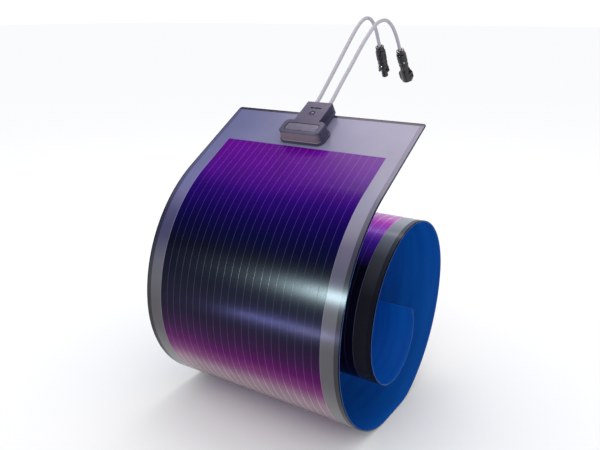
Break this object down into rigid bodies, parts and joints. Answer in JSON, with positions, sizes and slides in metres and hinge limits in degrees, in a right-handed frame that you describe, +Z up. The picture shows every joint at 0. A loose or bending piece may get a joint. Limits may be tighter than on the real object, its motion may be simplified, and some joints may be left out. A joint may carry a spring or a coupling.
{
  "type": "flexible solar sheet",
  "caption": "Partly rolled thin-film solar sheet with an adhesive back and liner, a junction box at its free end and two connector leads.",
  "frame": {"origin": "middle of the roll's footprint on the floor it stands on", "axes": "+X along the roll's axis and the sheet's width, -Y towards the side that the cell face looks to, +Z up"},
  "size_m": [0.436, 0.7074, 0.7601],
  "materials": {
    "film": "glossy clear barrier film",
    "cells": "printed organic cell stripes under film",
    "liner": "blue release liner",
    "box": "moulded, satin",
    "lid": "moulded, glossy",
    "tape": "foam adhesive tape",
    "rubber": "matt",
    "lead": "cable jacket, satin",
    "connector": "moulded, satin",
    "collet": "moulded",
    "brass": "tinned or bare",
    "copper": "tinned copper ribbon",
    "diode": "epoxy body"
  },
  "bodies": {
    "strip_00": {"front_film_00": "film", "cell_film_00": "cells", "liner_00": "liner", "box_base": "box", "box_adhesive_pad": "tape", "terminal_a": "brass", "terminal_b": "brass", "bypass_diode": "diode", "output_ribbon_a": "copper", "output_ribbon_b": "copper", "lead_clamp": "collet", "lead_seal": "rubber", "vent_plug": "lid", "lead_a": "lead", "lead_b": "lead", "plug_shell": "connector", "plug_contact": "brass", "plug_collet": "collet", "plug_wire_seal": "rubber", "plug_sealing_ring": "rubber", "socket_shell": "connector", "socket_pin": "brass", "socket_collet": "collet", "socket_wire_seal": "rubber"},
    "strip_01": {"front_film_01": "film", "cell_film_01": "cells", "liner_01": "liner"},
    "strip_02": {"front_film_02": "film", "cell_film_02": "cells", "liner_02": "liner"},
    "strip_03": {"front_film_03": "film", "cell_film_03": "cells", "liner_03": "liner"},
    "strip_04": {"front_film_04": "film", "cell_film_04": "cells", "liner_04": "liner"},
    "strip_05": {"front_film_05": "film", "cell_film_05": "cells", "liner_05": "liner"},
    "strip_06": {"front_film_06": "film", "cell_film_06": "cells", "liner_06": "liner"},
    "strip_07": {"front_film_07": "film", "cell_film_07": "cells", "liner_07": "liner"},
    "strip_08": {"front_film_08": "film", "cell_film_08": "cells", "liner_08": "liner"},
    "strip_09": {"front_film_09": "film", "cell_film_09": "cells", "liner_09": "liner"},
    "strip_10": {"front_film_10": "film", "cell_film_10": "cells", "liner_10": "liner"},
    "strip_11": {"front_film_11": "film", "liner_11": "liner"},
    "lid": {"box_lid": "lid", "lid_gasket": "rubber"},
    "plug_nut": {"plug_nut": "connector"},
    "socket_nut": {"socket_nut": "connector"}
  },
  "joints": [
    {"name": "unroll", "type": "hinge", "parent": "strip_06", "child": "strip_05", "pos_m": [0, 0.14575, 0.36395], "axis": [1, 0, 0], "range_deg": [0, 60]},
    {"name": "unroll_04_05", "type": "hinge", "parent": "strip_05", "child": "strip_04", "pos_m": [0, 0.22275, 0.23058], "axis": [1, 0, 0], "range_deg": [0, 60]},
    {"name": "unroll_03_04", "type": "hinge", "parent": "strip_04", "child": "strip_03", "pos_m": [0, 0.09875, 0.01581], "axis": [1, 0, 0], "range_deg": [0, 60]},
    {"name": "unroll_02_03", "type": "hinge", "parent": "strip_03", "child": "strip_02", "pos_m": [0, -0.10925, 0.02331], "axis": [1, 0, 0], "range_deg": [0, 60]},
    {"name": "unroll_01_02", "type": "hinge", "parent": "strip_02", "child": "strip_01", "pos_m": [0, -0.22275, 0.2199], "axis": [1, 0, 0], "range_deg": [0, 60]},
    {"name": "unroll_00_01", "type": "hinge", "parent": "strip_01", "child": "strip_00", "pos_m": [0, -0.07675, 0.47278], "axis": [1, 0, 0], "range_deg": [0, 30]},
    {"name": "unroll_06_07", "type": "hinge", "parent": "strip_06", "child": "strip_07", "pos_m": [0, -0.00925, 0.36395], "axis": [-1, 0, 0], "range_deg": [0, 60]},
    {"name": "unroll_07_08", "type": "hinge", "parent": "strip_07", "child": "strip_08", "pos_m": [0, -0.10625, 0.19594], "axis": [-1, 0, 0], "range_deg": [0, 60]},
    {"name": "unroll_08_09", "type": "hinge", "parent": "strip_08", "child": "strip_09", "pos_m": [0, -0.04325, 0.08682], "axis": [-1, 0, 0], "range_deg": [0, 60]},
    {"name": "unroll_09_10", "type": "hinge", "parent": "strip_09", "child": "strip_10", "pos_m": [0, 0.04475, 0.08682], "axis": [-1, 0, 0], "range_deg": [0, 60]},
    {"name": "unroll_10_11", "type": "hinge", "parent": "strip_10", "child": "strip_11", "pos_m": [0, 0.08775, 0.1613], "axis": [-1, 0, 0], "range_deg": [0, 45]},
    {"name": "lid_lift", "type": "slide", "parent": "strip_00", "child": "lid", "axis": [0, -0.5, 0.866], "range_m": [0, 0.02]},
    {"name": "plug_nut_turn", "type": "hinge", "parent": "strip_00", "child": "plug_nut", "pos_m": [-0.025, 0.3779, 0.6937], "axis": [0, -0.4699, 0.8827], "range_deg": [0, 360]},
    {"name": "socket_nut_turn", "type": "hinge", "parent": "strip_00", "child": "socket_nut", "pos_m": [0.007, 0.42285, 0.68444], "axis": [0, -0.5799, 0.8147], "range_deg": [0, 360]}
  ],
  "couplings": [
    {"joint": "unroll_04_05", "follows": "unroll", "ratio": 1},
    {"joint": "unroll_03_04", "follows": "unroll", "ratio": 1},
    {"joint": "unroll_02_03", "follows": "unroll", "ratio": 1},
    {"joint": "unroll_01_02", "follows": "unroll", "ratio": 1},
    {"joint": "unroll_00_01", "follows": "unroll", "ratio": 0.5},
    {"joint": "unroll_06_07", "follows": "unroll", "ratio": 1},
    {"joint": "unroll_07_08", "follows": "unroll", "ratio": 1},
    {"joint": "unroll_08_09", "follows": "unroll", "ratio": 1},
    {"joint": "unroll_09_10", "follows": "unroll", "ratio": 1},
    {"joint": "unroll_10_11", "follows": "unroll", "ratio": 0.75}
  ]
}
